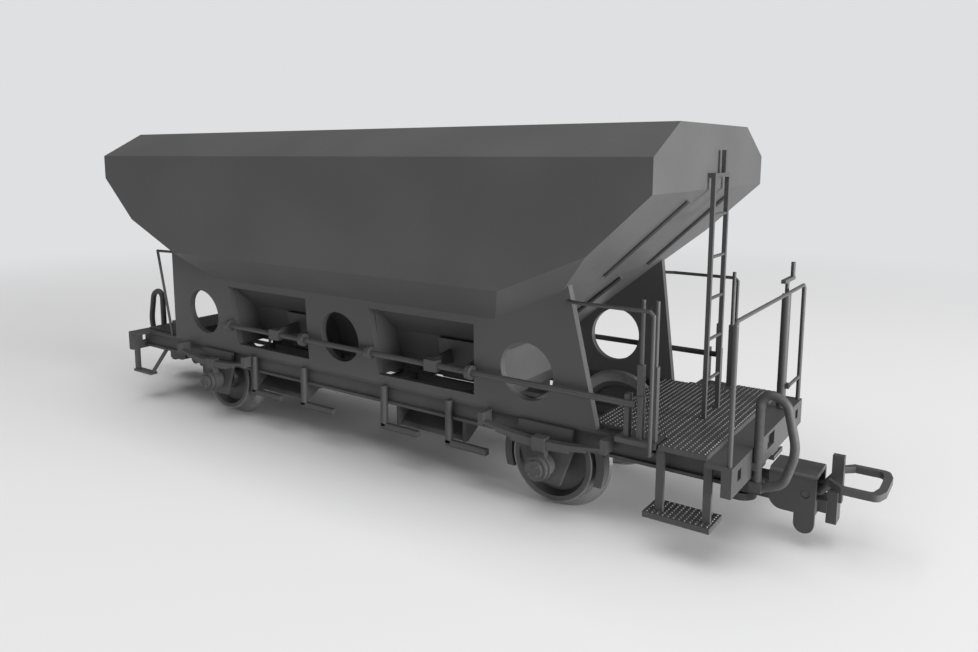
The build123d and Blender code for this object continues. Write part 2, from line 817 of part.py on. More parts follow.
for end, name in end_names:
    with BuildPart() as pocket:
        x0, x1 = along(end, pivot_x - 2.6, frame_half - beam_thick)
        box(x0, x1, -coupler_half, coupler_half, shank_top + 0.15, solebar_top - 0.4)
        with BuildSketch(Plane.XY.offset(shank_bottom - 0.75)):
            with Locations((end * pivot_x, 0)):
                Circle(pivot_r)
        extrude(amount=shank_top - shank_bottom + 1.15)
        with BuildSketch(Plane.XY.offset(shank_bottom - 0.95)):
            with Locations((end * pivot_x, 0)):
                Circle(1.7)
        extrude(amount=0.8)
    save(pocket.part, f"coupler_pocket_{name}")

    with BuildPart() as head:
        with BuildSketch(Plane.XZ):
            with Locations((end * (coupler_rear + coupler_front) / 2, (coupler_top + coupler_bottom) / 2)):
                Rectangle(coupler_front - coupler_rear, coupler_top - coupler_bottom)
        extrude(amount=coupler_half, both=True)
        rear_low = head.edges().filter_by(Axis.Y).sort_by(Axis.Z)[:2].sort_by(Axis.X)
        fillet(rear_low[0] if end > 0 else rear_low[-1], 1.4)
        top_long = head.edges().filter_by(Axis.X).sort_by(Axis.Z)[-2:]
        fillet(top_long, 0.7)
        x0, x1 = along(end, coupler_rear + coupler_wall, coupler_front + 1)
        y1 = coupler_half - coupler_wall
        z0 = coupler_bottom + coupler_wall + 1.0
        box(x0, x1, -y1, y1, z0, coupler_top - coupler_wall, mode=Mode.SUBTRACT)
        x0, x1 = along(end, pivot_x - 1.5, coupler_rear + 0.3)
        box(x0, x1, -1.4, 1.4, shank_bottom, shank_top)
        with BuildSketch(Plane.XY.offset(4.0)):
            with Locations((end * pivot_x, 0)):
                Circle(pivot_r + fit)
        extrude(amount=4, mode=Mode.SUBTRACT)
        x0, x1 = along(end, coupler_front - 2.0, coupler_front)
        y0 = -end * coupler_half
        y1 = -end * (coupler_half - coupler_wall)
        box(x0, x1, min(y0, y1), max(y0, y1), 2.7, coupler_bottom + 0.5)
        with BuildSketch(Plane.XZ.offset(-min(y0, y1))):
            with Locations(((x0 + x1) / 2, 2.7)):
                Circle(1.0)
        extrude(amount=-coupler_wall)
        x0, x1 = along(end, coupler_front - 0.3, coupler_front + 0.9)
        box(x0, x1, -1.2, 1.2, 3.9, 5.2)
        x0, x1 = along(end, coupler_front + 0.8, coupler_front + 1.8)
        box(x0, x1, -0.95, 0.95, 2.8, 6.2)
        x0, x1 = along(end, coupler_front + 1.0, coupler_front + 2.1)
        box(x0, x1, -0.4, 0.4, 5.0, 9.9)
        with BuildSketch(Plane.XZ):
            with Locations((end * loop_pin_x, loop_pin_z)):
                Circle(loop_pin_r + fit)
        extrude(amount=coupler_half + 1, both=True, mode=Mode.SUBTRACT)
    save(head.part, f"coupler_head_{name}")

    with BuildSketch(Plane.XY.offset(loop_z - loop_bar / 2)) as loop_opening:
        polygon_face(
            (end * (loop_back_x - 0.1), -1.5),
            (end * (loop_side_x + 0.2), -loop_half + loop_bar),
            (end * (loop_tip_x - 1.1), -loop_half + loop_bar),
            (end * (loop_tip_x - 0.75), -1.6),
            (end * (loop_tip_x - 0.75), 1.6),
            (end * (loop_tip_x - 1.1), loop_half - loop_bar),
            (end * (loop_side_x + 0.2), loop_half - loop_bar),
            (end * (loop_back_x - 0.1), 1.5),
        )
        fillet(loop_opening.vertices().sort_by(Axis.X, reverse=end > 0)[:4], 0.4)
    with BuildPart() as loop:
        with BuildSketch(Plane.XY.offset(loop_z - loop_bar / 2)) as loop_outline:
            polygon_face(
                (end * loop_back_x, -2.16),
                (end * loop_side_x, -loop_half),
                (end * (loop_tip_x - 0.5), -loop_half),
                (end * loop_tip_x, -2.0),
                (end * loop_tip_x, 2.0),
                (end * (loop_tip_x - 0.5), loop_half),
                (end * loop_side_x, loop_half),
                (end * loop_back_x, 2.16),
            )
            fillet(loop_outline.vertices().sort_by(Axis.X, reverse=end > 0)[:4], 0.8)
            add(loop_opening.sketch, mode=Mode.SUBTRACT)
        extrude(amount=loop_bar)
        for side in (-1, 1):
            rod(
                [
                    (end * loop_pin_x, side * loop_arm_y, loop_pin_z),
                    (end * (loop_pin_x + 1.2), side * loop_arm_y, loop_pin_z + 0.2),
                    (end * (loop_back_x + 0.25), side * 2.0, loop_z),
                ],
                0.33,
            )
        pin_y = coupler_half - 0.1
        rod([(end * loop_pin_x, -pin_y, loop_pin_z), (end * loop_pin_x, pin_y, loop_pin_z)], loop_pin_r)
    save(loop.part, f"coupler_loop_{name}")

# Pieces that stand in others are cut back to the faces they stand on
seats = {
    "leaf_springs": ("axleboxes", "spring_brackets"),
    "brake_shoes": ("brake_rods", "cross_members"),
    "cross_members": ("brake_rods",),
    "end_railing": ("end_beam_front", "handbrake_column"),
    "ladder": ("hopper_end_front", "platform_deck"),
}
for _, name in end_names:
    seats[f"brake_hose_{name}"] = (f"end_beam_{name}",)
for _, name in side_names:
    seats[f"discharge_flaps_{name}"] = (f"control_shaft_{name}",)
    seats[f"release_levers_{name}"] = (f"control_shaft_{name}", f"solebar_{name}")
    seats[f"step_{name}"] = ("end_beam_front",)
    seats[f"stirrup_{name}"] = ("end_beam_rear", f"solebar_{name}")
    seats[f"handrail_{name}"] = (f"side_plate_{name}", f"solebar_{name}")
    seats[f"rear_handrail_{name}"] = (f"side_plate_{name}", f"solebar_{name}")
for name, piece in pieces.items():
    with BuildPart() as fitted:
        add(piece)
        for seat in seats.get(name, ()):
            add(pieces[seat], mode=Mode.SUBTRACT)
    fitted.part.label = name
    export_step(fitted.part, f"parts/{name}.step")
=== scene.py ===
import math

import bmesh
import bpy
from mathutils import Matrix, Vector


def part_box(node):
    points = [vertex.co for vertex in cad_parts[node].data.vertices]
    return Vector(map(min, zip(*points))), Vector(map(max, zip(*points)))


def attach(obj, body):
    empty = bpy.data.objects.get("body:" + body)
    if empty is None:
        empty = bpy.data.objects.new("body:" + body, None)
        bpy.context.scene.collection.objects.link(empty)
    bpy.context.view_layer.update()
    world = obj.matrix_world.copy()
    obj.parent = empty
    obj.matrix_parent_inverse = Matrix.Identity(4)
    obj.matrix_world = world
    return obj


bl_info = {
    "name": "Hopper Wagon Finish",
    "version": (1, 0, 0),
    "blender": (4, 5, 0),
    "location": "3D View > Sidebar > Wagon",
    "description": "Finishes a model hopper wagon: surfaces, studs, ribs, link bars, bolts and studio",
    "category": "Object",
}

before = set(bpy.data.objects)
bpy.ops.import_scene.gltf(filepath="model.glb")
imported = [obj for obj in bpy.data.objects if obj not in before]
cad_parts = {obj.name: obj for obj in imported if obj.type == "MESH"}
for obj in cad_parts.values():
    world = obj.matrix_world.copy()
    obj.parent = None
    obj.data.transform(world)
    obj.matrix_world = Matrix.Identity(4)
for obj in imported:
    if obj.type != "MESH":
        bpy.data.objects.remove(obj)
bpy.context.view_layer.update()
MM = 0.001

# The photograph's camera, fitted to the hopper's edges: degrees, and shares of the picture's width
CAMERA_PLACE = (0.0706, -0.0848, 0.0402)
CAMERA_TILT = 81.95
CAMERA_TURN = 35.83
CAMERA_FOCUS = 790.6 / 978
CAMERA_SHIFT = (0.0248, -0.0608)
SENSOR_WIDTH = 36

# Place and size of each lamp, and the point that both face
KEY_LAMP = ((0.7, 0.0, 0.12), (0.5, 0.2))
TOP_LAMP = ((0.0, -0.14, 0.6), (0.6, 0.6))
LAMP_AIM = Vector((0, 0, 0.02))
FLOOR_HALF = 6.0

# Wheels: height of the flange over the tread
FLANGE = 1.2 * MM

# Decks: length of the platform's wide part, top of a step's plate, depth of a stud's foot
WIDE_DECK = 4.9 * MM
STEP_PLATE = 0.55 * MM
STUD_SINK = 0.05 * MM

# Ribs on the end slopes: distance in from the hopper's end, and height
LONG_RIB = ((1.2 * MM, 35.6 * MM), (10.4 * MM, 27.0 * MM))
SHORT_RIB = ((11.6 * MM, 25.8 * MM), (21.2 * MM, 17.7 * MM))
SHORT_RIB_SIDE = 2.0 * MM
RIB_SINK = 0.15 * MM

# Link bars: first bar of each pair along the solebar, depth in it, distance below its top
LINK_STARTS = (-20.3 * MM, 4.9 * MM)
LINK_SINK = 0.1 * MM
LINK_INSET = 0.2 * MM

# Axlebox bolts: how many on a cover, depth in it
BOLT_COUNT = 4
BOLT_SINK = 0.04 * MM

# Which finish each group of pieces takes
HOPPER_NODES = ("hopper_", "rim_panel_", "side_plate_", "cross_walls_", "discharge_")
FRAME_NODES = ("solebar_", "end_beam_", "cross_members", "axle_guards", "coupler_pocket_")
GEAR_NODES = ("axleboxes", "leaf_springs", "spring_brackets", "brake_shoes", "brake_rods")
FITTING_NODES = (
    "handrail_",
    "rear_handrail_",
    "end_railing",
    "ladder",
    "release_levers_",
    "handbrake_",
    "control_shaft_",
    "shaft_brackets_",
    "stirrup_",
)
DECK_NODES = ("platform_deck", "rear_deck", "step_")


class Channel:
    """A shader socket that can be written in sums."""

    def __init__(self, tree, socket):
        self.tree = tree
        self.socket = socket

    def math(self, operation, *others):
        node = self.tree.nodes.new("ShaderNodeMath")
        node.operation = operation
        for place, value in enumerate((self, *others)):
            if isinstance(value, Channel):
                self.tree.links.new(value.socket, node.inputs[place])
            else:
                node.inputs[place].default_value = value
        return Channel(self.tree, node.outputs[0])

    def __add__(self, other):
        return self.math("ADD", other)

    def __radd__(self, other):
        return self.math("ADD", other)

    def __sub__(self, other):
        return self.math("SUBTRACT", other)

    def __rsub__(self, other):
        return self.math("MULTIPLY_ADD", -1.0, other)

    def __mul__(self, other):
        return self.math("MULTIPLY", other)

    def __rmul__(self, other):
        return self.math("MULTIPLY", other)

    def __pow__(self, other):
        return self.math("POWER", other)

    def above(self, low, high):
        """0 below low, 1 above high, smooth between."""
        node = self.tree.nodes.new("ShaderNodeMapRange")
        node.interpolation_type = "SMOOTHSTEP"
        self.tree.links.new(self.socket, node.inputs["Value"])
        node.inputs["From Min"].default_value = low
        node.inputs["From Max"].default_value = high
        return Channel(self.tree, node.outputs["Result"])

    def node(self, kind, output, feeds=None, **settings):
        """Any other node on the same tree, fed by sockets and plain numbers."""
        node = self.tree.nodes.new(kind)
        for key, value in settings.items():
            setattr(node, key, value)
        for key, value in (feeds or {}).items():
            if isinstance(value, Channel):
                self.tree.links.new(value.socket, node.inputs[key])
            else:
                node.inputs[key].default_value = value
        return Channel(self.tree, node.outputs[output])


class Surface:
    """A new material with its shader and the piece's own coordinates."""

    def __init__(self, name):
        self.material = bpy.data.materials.new(name)
        self.material.use_nodes = True
        self.tree = self.material.node_tree
        self.shader = self.tree.nodes["Principled BSDF"]
        spot = self.tree.nodes.new("ShaderNodeTexCoord")
        self.place = Channel(self.tree, spot.outputs["Object"])
        split = self.tree.nodes.new("ShaderNodeSeparateXYZ")
        self.tree.links.new(spot.outputs["Object"], split.inputs[0])
        self.x = Channel(self.tree, split.outputs[0])
        self.y = Channel(self.tree, split.outputs[1])
        self.z = Channel(self.tree, split.outputs[2])

    def noise(self, size, detail=3.0, roughness=0.5):
        """Noise with patches of about this size in metres."""
        feeds = {"Vector": self.place, "Scale": 1 / size, "Detail": detail, "Roughness": roughness}
        return self.place.node("ShaderNodeTexNoise", "Fac", feeds)

    def mix(self, amount, low, high):
        """A colour between two others."""
        node = self.tree.nodes.new("ShaderNodeMix")
        node.data_type = "RGBA"
        self.tree.links.new(amount.socket, node.inputs[0])
        for place, value in ((6, low), (7, high)):
            if isinstance(value, Channel):
                self.tree.links.new(value.socket, node.inputs[place])
            else:
                node.inputs[place].default_value = (*value[:3], 1)
        return Channel(self.tree, node.outputs[2])

    def feed(self, name, channel):
        self.tree.links.new(channel.socket, self.shader.inputs[name])

    def bump(self, height, depth, strength):
        feeds = {"Height": height, "Distance": depth, "Strength": strength}
        self.feed("Normal", self.place.node("ShaderNodeBump", "Normal", feeds))


def shade(colour, factor):
    return tuple(min(1.0, c * factor) for c in colour[:3])


def moulded_plastic(name, colour, roughness, dust):
    """Satin moulded plastic with flow mottling, fine grain and dust low down."""
    s = Surface(name)
    flow = s.noise(14 * MM, 4.0)
    speck = s.noise(0.9 * MM, 3.0, 0.6)
    tone = s.mix(flow.above(0.32, 0.68), shade(colour, 0.93), shade(colour, 1.07))
    tone = s.mix(speck.above(0.58, 0.78) * 0.25, tone, shade(colour, 1.25))
    low = (0 - s.z).above(-14 * MM, -1 * MM)
    powder = low * s.noise(3.2 * MM, 5.0, 0.65).above(0.42, 0.7) * dust
    tone = s.mix(powder, tone, (0.2, 0.19, 0.18))
    s.feed("Base Color", tone)
    s.feed("Roughness", flow * 0.14 + speck * 0.1 + powder * 0.3 + (roughness - 0.12))
    grain = s.noise(0.16 * MM, 2.0, 0.55)
    s.bump(grain + flow * 2.0, 0.012 * MM, 0.5)
    s.shader.inputs["Specular IOR Level"].default_value = 0.4
    return s.material


def drawn_wire(name, colour, roughness):
    """Painted wire: even tone, with tiny bare points of the metal."""
    s = Surface(name)
    rub = s.noise(1.6 * MM, 4.0, 0.7)
    bare = rub.above(0.68, 0.8) * 0.5
    s.feed("Base Color", s.mix(bare, shade(colour, 0.97), shade(colour, 1.6)))
    s.feed("Roughness", rub * 0.16 + (roughness - 0.08))
    s.bump(s.noise(0.3 * MM), 0.006 * MM, 0.4)
    s.shader.inputs["Specular IOR Level"].default_value = 0.45
    return s.material


def turned_metal(name, colour, bright, axle_x, axle_z, tread):
    """Darkened wheel metal, turned in rings, with a brighter running tread."""
    s = Surface(name)
    dx = s.x - axle_x
    dz = s.z - axle_z
    radius = (dx * dx + dz * dz) ** 0.5
    rings = (radius * (2 * math.pi / (0.28 * MM))).math("SINE")
    worn = radius.above(tread - 0.35 * MM, tread - 0.05 * MM)
    grime = s.noise(2.4 * MM, 5.0, 0.6)
    tone = s.mix(worn, colour, bright)
    tone = s.mix(grime.above(0.5, 0.72) * 0.45, tone, shade(colour, 0.7))
    s.feed("Base Color", tone)
    s.feed("Metallic", worn * 0.5 + 0.35)
    s.feed("Roughness", 0.25 * grime + (0.38 - 0.14 * worn))
    s.bump(rings * 0.5 + grime, 0.01 * MM, 0.35)
    return s.material


def rubber_hose(name, colour):
    """Matt rubber with a faint wrap running round the hose."""
    s = Surface(name)
    wave = (s.z * (2 * math.pi / (0.55 * MM))).math("SINE")
    wrap = 0.5 + 0.5 * wave
    cloth = s.noise(0.5 * MM, 2.0)
    s.feed("Base Color", s.mix(cloth.above(0.35, 0.7), shade(colour, 0.9), shade(colour, 1.15)))
    s.feed("Roughness", cloth * 0.2 + 0.52)
    s.bump(wrap * 0.4 + cloth, 0.012 * MM, 0.5)
    return s.material


def tree_with(name, inputs):
    """A geometry tree, its group input and output, and its sockets by name."""
    tree = bpy.data.node_groups.new(name, "GeometryNodeTree")
    ids = {}
    for label, kind in inputs:
        socket = tree.interface.new_socket(name=label, in_out="INPUT", socket_type=kind)
        ids[label] = socket.identifier
    tree.interface.new_socket(name="Geometry", in_out="OUTPUT", socket_type="NodeSocketGeometry")
    entry = tree.nodes.new("NodeGroupInput")
    exit_ = tree.nodes.new("NodeGroupOutput")
    return tree, ids, entry, exit_


def add_node(tree, kind, links=None, values=None, **settings):
    node = tree.nodes.new(kind)
    for key, value in settings.items():
        setattr(node, key, value)
    for key, value in (values or {}).items():
        node.inputs[key].default_value = value
    for key, socket in (links or {}).items():
        tree.links.new(socket, node.inputs[key])
    return node


def close_tree(tree, geometry, entry, exit_):
    """Realize the instances, give them the finish and send them out."""
    real = add_node(tree, "GeometryNodeRealizeInstances", {"Geometry": geometry})
    links = {"Geometry": real.outputs[0], "Material": entry.outputs["Material"]}
    finish = add_node(tree, "GeometryNodeSetMaterial", links)
    tree.links.new(finish.outputs[0], exit_.inputs[0])


def stud_field_tree():
    """Rows of low tapered studs on a flat rectangle."""
    tree, ids, entry, exit_ = tree_with(
        "Stud Field",
        (
            ("Length", "NodeSocketFloat"),
            ("Width", "NodeSocketFloat"),
            ("Rows", "NodeSocketInt"),
            ("Columns", "NodeSocketInt"),
            ("Stud Radius", "NodeSocketFloat"),
            ("Stud Height", "NodeSocketFloat"),
            ("Material", "NodeSocketMaterial"),
        ),
    )
    out = entry.outputs
    grid = add_node(
        tree,
        "GeometryNodeMeshGrid",
        {
            "Size X": out["Length"],
            "Size Y": out["Width"],
            "Vertices X": out["Rows"],
            "Vertices Y": out["Columns"],
        },
    )
    top = add_node(tree, "ShaderNodeMath", {0: out["Stud Radius"]}, {1: 0.68}, operation="MULTIPLY")
    stud = add_node(
        tree,
        "GeometryNodeMeshCone",
        {"Radius Top": top.outputs[0], "Radius Bottom": out["Stud Radius"], "Depth": out["Stud Height"]},
        {"Vertices": 6},
    )
    rows = add_node(
        tree,
        "GeometryNodeInstanceOnPoints",
        {"Points": grid.outputs["Mesh"], "Instance": stud.outputs["Mesh"]},
    )
    close_tree(tree, rows.outputs[0], entry, exit_)
    return tree, ids


def rib_row_tree():
    """Square bars from a foot to a head, repeated by a step."""
    tree, ids, entry, exit_ = tree_with(
        "Rib Row",
        (
            ("Foot", "NodeSocketVector"),
            ("Head", "NodeSocketVector"),
            ("Step", "NodeSocketVector"),
            ("Count", "NodeSocketInt"),
            ("Rib Width", "NodeSocketFloat"),
            ("Material", "NodeSocketMaterial"),
        ),
    )
    out = entry.outputs
    run = add_node(tree, "GeometryNodeCurvePrimitiveLine", {"Start": out["Foot"], "End": out["Head"]})
    section = add_node(
        tree,
        "GeometryNodeCurvePrimitiveQuadrilateral",
        {"Width": out["Rib Width"], "Height": out["Rib Width"]},
    )
    bar = add_node(
        tree,
        "GeometryNodeCurveToMesh",
        {"Curve": run.outputs[0], "Profile Curve": section.outputs[0]},
        {"Fill Caps": True},
    )
    line = add_node(tree, "GeometryNodeMeshLine", {"Count": out["Count"], "Offset": out["Step"]})
    rows = add_node(
        tree,
        "GeometryNodeInstanceOnPoints",
        {"Points": line.outputs[0], "Instance": bar.outputs[0]},
    )
    close_tree(tree, rows.outputs[0], entry, exit_)
    return tree, ids


def bolt_ring_tree():
    """Hexagon bolt heads on a circle, standing along Z."""
    tree, ids, entry, exit_ = tree_with(
        "Bolt Ring",
        (
            ("Count", "NodeSocketInt"),
            ("Ring Radius", "NodeSocketFloat"),
            ("Bolt Radius", "NodeSocketFloat"),
            ("Bolt Height", "NodeSocketFloat"),
            ("Material", "NodeSocketMaterial"),
        ),
    )
    out = entry.outputs
    ring = add_node(
        tree,
        "GeometryNodeMeshCircle",
        {"Vertices": out["Count"], "Radius": out["Ring Radius"]},
    )
    top = add_node(tree, "ShaderNodeMath", {0: out["Bolt Radius"]}, {1: 0.86}, operation="MULTIPLY")
    bolt = add_node(
        tree,
        "GeometryNodeMeshCone",
        {"Radius Top": top.outputs[0], "Radius Bottom": out["Bolt Radius"], "Depth": out["Bolt Height"]},
        {"Vertices": 6},
    )
    rows = add_node(
        tree,
        "GeometryNodeInstanceOnPoints",
        {"Points": ring.outputs["Mesh"], "Instance": bolt.outputs["Mesh"]},
    )
    close_tree(tree, rows.outputs[0], entry, exit_)
    return tree, ids


def grow(tree, ids, values):
    """The plain mesh that a tree makes with these inputs."""
    holder = bpy.data.objects.new("holder", bpy.data.meshes.new("holder"))
    bpy.context.scene.collection.objects.link(holder)
    modifier = holder.modifiers.new("shape", "NODES")
    modifier.node_group = tree
    for label, value in values.items():
        modifier[ids[label]] = value
    bpy.context.view_layer.update()
    depsgraph = bpy.context.evaluated_depsgraph_get()
    mesh = bpy.data.meshes.new_from_object(holder.evaluated_get(depsgraph))
    holder.modifiers.remove(modifier)
    bpy.data.objects.remove(holder)
    return mesh


def seat(name, placed, body, material):
    """One piece out of placed meshes, riding on a body."""
    whole = bmesh.new()
    for mesh, matrix in placed:
        copy = mesh.copy()
        copy.transform(matrix)
        whole.from_mesh(copy)
        bpy.data.meshes.remove(copy)
    bmesh.ops.recalc_face_normals(whole, faces=whole.faces)
    mesh = bpy.data.meshes.new(name)
    whole.to_mesh(mesh)
    whole.free()
    mesh.materials.clear()
    mesh.materials.append(material)
    piece = bpy.data.objects.new(name, mesh)
    bpy.context.scene.collection.objects.link(piece)
    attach(piece, body)
    return piece


def paint(prefixes, material):
    """Give every CAD piece whose name starts so this finish."""
    for name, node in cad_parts.items():
        if name.startswith(tuple(prefixes)):
            node.data.materials.clear()
            node.data.materials.append(material)


class WAGON_PG_finish(bpy.types.PropertyGroup):
    hopper: bpy.props.FloatVectorProperty(
        name="Hopper",
        description="Colour of the hopper and its side plates",
        subtype="COLOR",
        default=(0.077, 0.077, 0.078),
        min=0,
        max=1,
    )
    underframe: bpy.props.FloatVectorProperty(
        name="Underframe",
        description="Colour of solebars, beams and running gear",
        subtype="COLOR",
        default=(0.058, 0.058, 0.059),
        min=0,
        max=1,
    )
    fittings: bpy.props.FloatVectorProperty(
        name="Fittings",
        description="Colour of rails, ladder, levers and shafts",
        subtype="COLOR",
        default=(0.066, 0.066, 0.067),
        min=0,
        max=1,
    )
    wheel: bpy.props.FloatVectorProperty(
        name="Wheel",
        description="Colour of the darkened wheel faces",
        subtype="COLOR",
        default=(0.085, 0.085, 0.086),
        min=0,
        max=1,
    )
    tread: bpy.props.FloatVectorProperty(
        name="Tread",
        description="Colour of the running treads",
        subtype="COLOR",
        default=(0.3, 0.3, 0.3),
        min=0,
        max=1,
    )
    roughness: bpy.props.FloatProperty(
        name="Roughness",
        description="Roughness of the moulded plastic",
        default=0.52,
        min=0.2,
        max=0.9,
    )
    dust: bpy.props.FloatProperty(
        name="Dust",
        description="How much dust lies on the lowest pieces",
        subtype="FACTOR",
        default=0.16,
        min=0,
        max=1,
    )


class WAGON_PG_deck(bpy.types.PropertyGroup):
    pitch: bpy.props.FloatProperty(
        name="Stud Pitch",
        description="Distance between the studs of decks and steps",
        subtype="DISTANCE",
        unit="LENGTH",
        default=0.56 * MM,
    )
    radius: bpy.props.FloatProperty(
        name="Stud Radius",
        description="Radius of a stud at its foot",
        subtype="DISTANCE",
        unit="LENGTH",
        default=0.17 * MM,
    )
    height: bpy.props.FloatProperty(
        name="Stud Height",
        description="Height of a stud above the plate",
        subtype="DISTANCE",
        unit="LENGTH",
        default=0.11 * MM,
    )
    margin: bpy.props.FloatProperty(
        name="Margin",
        description="Plain edge round the studs",
        subtype="DISTANCE",
        unit="LENGTH",
        default=0.35 * MM,
    )


class WAGON_PG_ribs(bpy.types.PropertyGroup):
    width: bpy.props.FloatProperty(
        name="Rib Width",
        description="Width and height of a rib on the end slopes",
        subtype="DISTANCE",
        unit="LENGTH",
        default=0.5 * MM,
    )
    first: bpy.props.FloatProperty(
        name="First Rib",
        description="Distance of the first long rib from the middle",
        subtype="DISTANCE",
        unit="LENGTH",
        default=-5.0 * MM,
    )
    step: bpy.props.FloatProperty(
        name="Rib Step",
        description="Distance between the long ribs",
        subtype="DISTANCE",
        unit="LENGTH",
        default=12.0 * MM,
    )
    count: bpy.props.IntProperty(
        name="Rib Count",
        description="Number of long ribs on each end slope",
        default=2,
        min=1,
        max=6,
    )


class WAGON_PG_links(bpy.types.PropertyGroup):
    width: bpy.props.FloatProperty(
        name="Link Width",
        description="Width and thickness of a link bar",
        subtype="DISTANCE",
        unit="LENGTH",
        default=0.7 * MM,
    )
    drop: bpy.props.FloatProperty(
        name="Link Drop",
        description="How far a link bar hangs from the top of the solebar",
        subtype="DISTANCE",
        unit="LENGTH",
        default=5.3 * MM,
    )
    step: bpy.props.FloatProperty(
        name="Link Step",
        description="Distance between the two link bars of a chute",
        subtype="DISTANCE",
        unit="LENGTH",
        default=10.4 * MM,
    )
    foot: bpy.props.FloatProperty(
        name="Link Foot",
        description="Length of the foot that runs along the wagon",
        subtype="DISTANCE",
        unit="LENGTH",
        default=5.6 * MM,
    )


class WAGON_PG_bolts(bpy.types.PropertyGroup):
    radius: bpy.props.FloatProperty(
        name="Bolt Radius",
        description="Radius of a bolt head on the axleboxes",
        subtype="DISTANCE",
        unit="LENGTH",
        default=0.17 * MM,
    )
    ring: bpy.props.FloatProperty(
        name="Bolt Ring",
        description="Radius of the ring that the bolts stand on",
        subtype="DISTANCE",
        unit="LENGTH",
        default=0.68 * MM,
    )
    height: bpy.props.FloatProperty(
        name="Bolt Height",
        description="Height of a bolt head",
        subtype="DISTANCE",
        unit="LENGTH",
        default=0.16 * MM,
    )


class WAGON_PG_stage(bpy.types.PropertyGroup):
    floor: bpy.props.FloatVectorProperty(
        name="Floor",
        description="Colour of the floor",
        subtype="COLOR",
        default=(0.78, 0.78, 0.785),
        min=0,
        max=1,
    )
    sky: bpy.props.FloatVectorProperty(
        name="Background",
        description="Colour seen behind the wagon",
        subtype="COLOR",
        default=(0.74, 0.745, 0.755),
        min=0,
        max=1,
    )
    fade_start: bpy.props.FloatProperty(
        name="Fade Start",
        description="Distance from the wagon where the floor starts to blend into the background",
        subtype="DISTANCE",
        unit="LENGTH",
        default=0.1,
    )
    fade_end: bpy.props.FloatProperty(
        name="Fade End",
        description="Distance from the wagon where the floor has become the background",
        subtype="DISTANCE",
        unit="LENGTH",
        default=0.28,
    )
    fill: bpy.props.FloatProperty(
        name="Fill",
        description="Strength of the light from all round",
        default=0.2,
        min=0,
        max=2,
    )
    key: bpy.props.FloatProperty(
        name="Key",
        description="Power of the large lamp at the platform end",
        subtype="POWER",
        default=9.0,
        min=0,
    )
    top: bpy.props.FloatProperty(
        name="Top",
        description="Power of the lamp overhead",
        subtype="POWER",
        default=2.8,
        min=0,
    )


class WAGON_OT_hopper(bpy.types.Operator):
    """Give the hopper, its plates, walls and discharge gear their plastic"""

    bl_idname = "wagon.hopper"
    bl_label = "Finish Hopper"

    def execute(self, context):
        s = context.scene.wagon_finish
        material = moulded_plastic("hopper plastic", s.hopper, s.roughness, s.dust * 0.5)
        paint(HOPPER_NODES, material)
        return {"FINISHED"}


class WAGON_OT_underframe(bpy.types.Operator):
    """Give the underframe, running gear and brake gear their plastic"""

    bl_idname = "wagon.underframe"
    bl_label = "Finish Underframe"

    def execute(self, context):
        s = context.scene.wagon_finish
        frame_plastic = moulded_plastic("frame plastic", s.underframe, s.roughness, s.dust)
        gear_plastic = moulded_plastic(
            "running gear plastic", shade(s.underframe, 1.18), s.roughness + 0.06, s.dust * 1.4
        )
        paint(FRAME_NODES, frame_plastic)
        paint(GEAR_NODES, gear_plastic)
        return {"FINISHED"}


class WAGON_OT_fittings(bpy.types.Operator):
    """Give rails, ladder, levers and shafts their painted wire, and the hoses rubber"""

    bl_idname = "wagon.fittings"
    bl_label = "Finish Fittings"

    def execute(self, context):
        s = context.scene.wagon_finish
        paint(FITTING_NODES, drawn_wire("painted wire", s.fittings, 0.42))
        paint(("brake_hose_",), rubber_hose("hose rubber", shade(s.fittings, 0.9)))
        return {"FINISHED"}


class WAGON_OT_wheels(bpy.types.Operator):
    """Give both wheelsets their turned metal"""

    bl_idname = "wagon.wheels"
    bl_label = "Finish Wheels"

    def execute(self, context):
        s = context.scene.wagon_finish
        for end in ("front", "rear"):
            low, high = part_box("wheels_" + end)
            middle = (low + high) / 2
            tread = (high.z - low.z) / 2 - FLANGE
            metal = turned_metal("wheel metal " + end, s.wheel, s.tread, middle.x, middle.z, tread)
            paint(("wheels_" + end, "axle_" + end), metal)
        return {"FINISHED"}


class WAGON_OT_couplers(bpy.types.Operator):
    """Give the coupler heads and loops their plastic"""

    bl_idname = "wagon.couplers"
    bl_label = "Finish Couplers"

    def execute(self, context):
        s = context.scene.wagon_finish
        head = moulded_plastic("coupler plastic", shade(s.underframe, 0.95), s.roughness - 0.08, 0.0)
        paint(("coupler_head_",), head)
        paint(("coupler_loop_",), drawn_wire("coupler loop metal", shade(s.underframe, 1.1), 0.38))
        return {"FINISHED"}


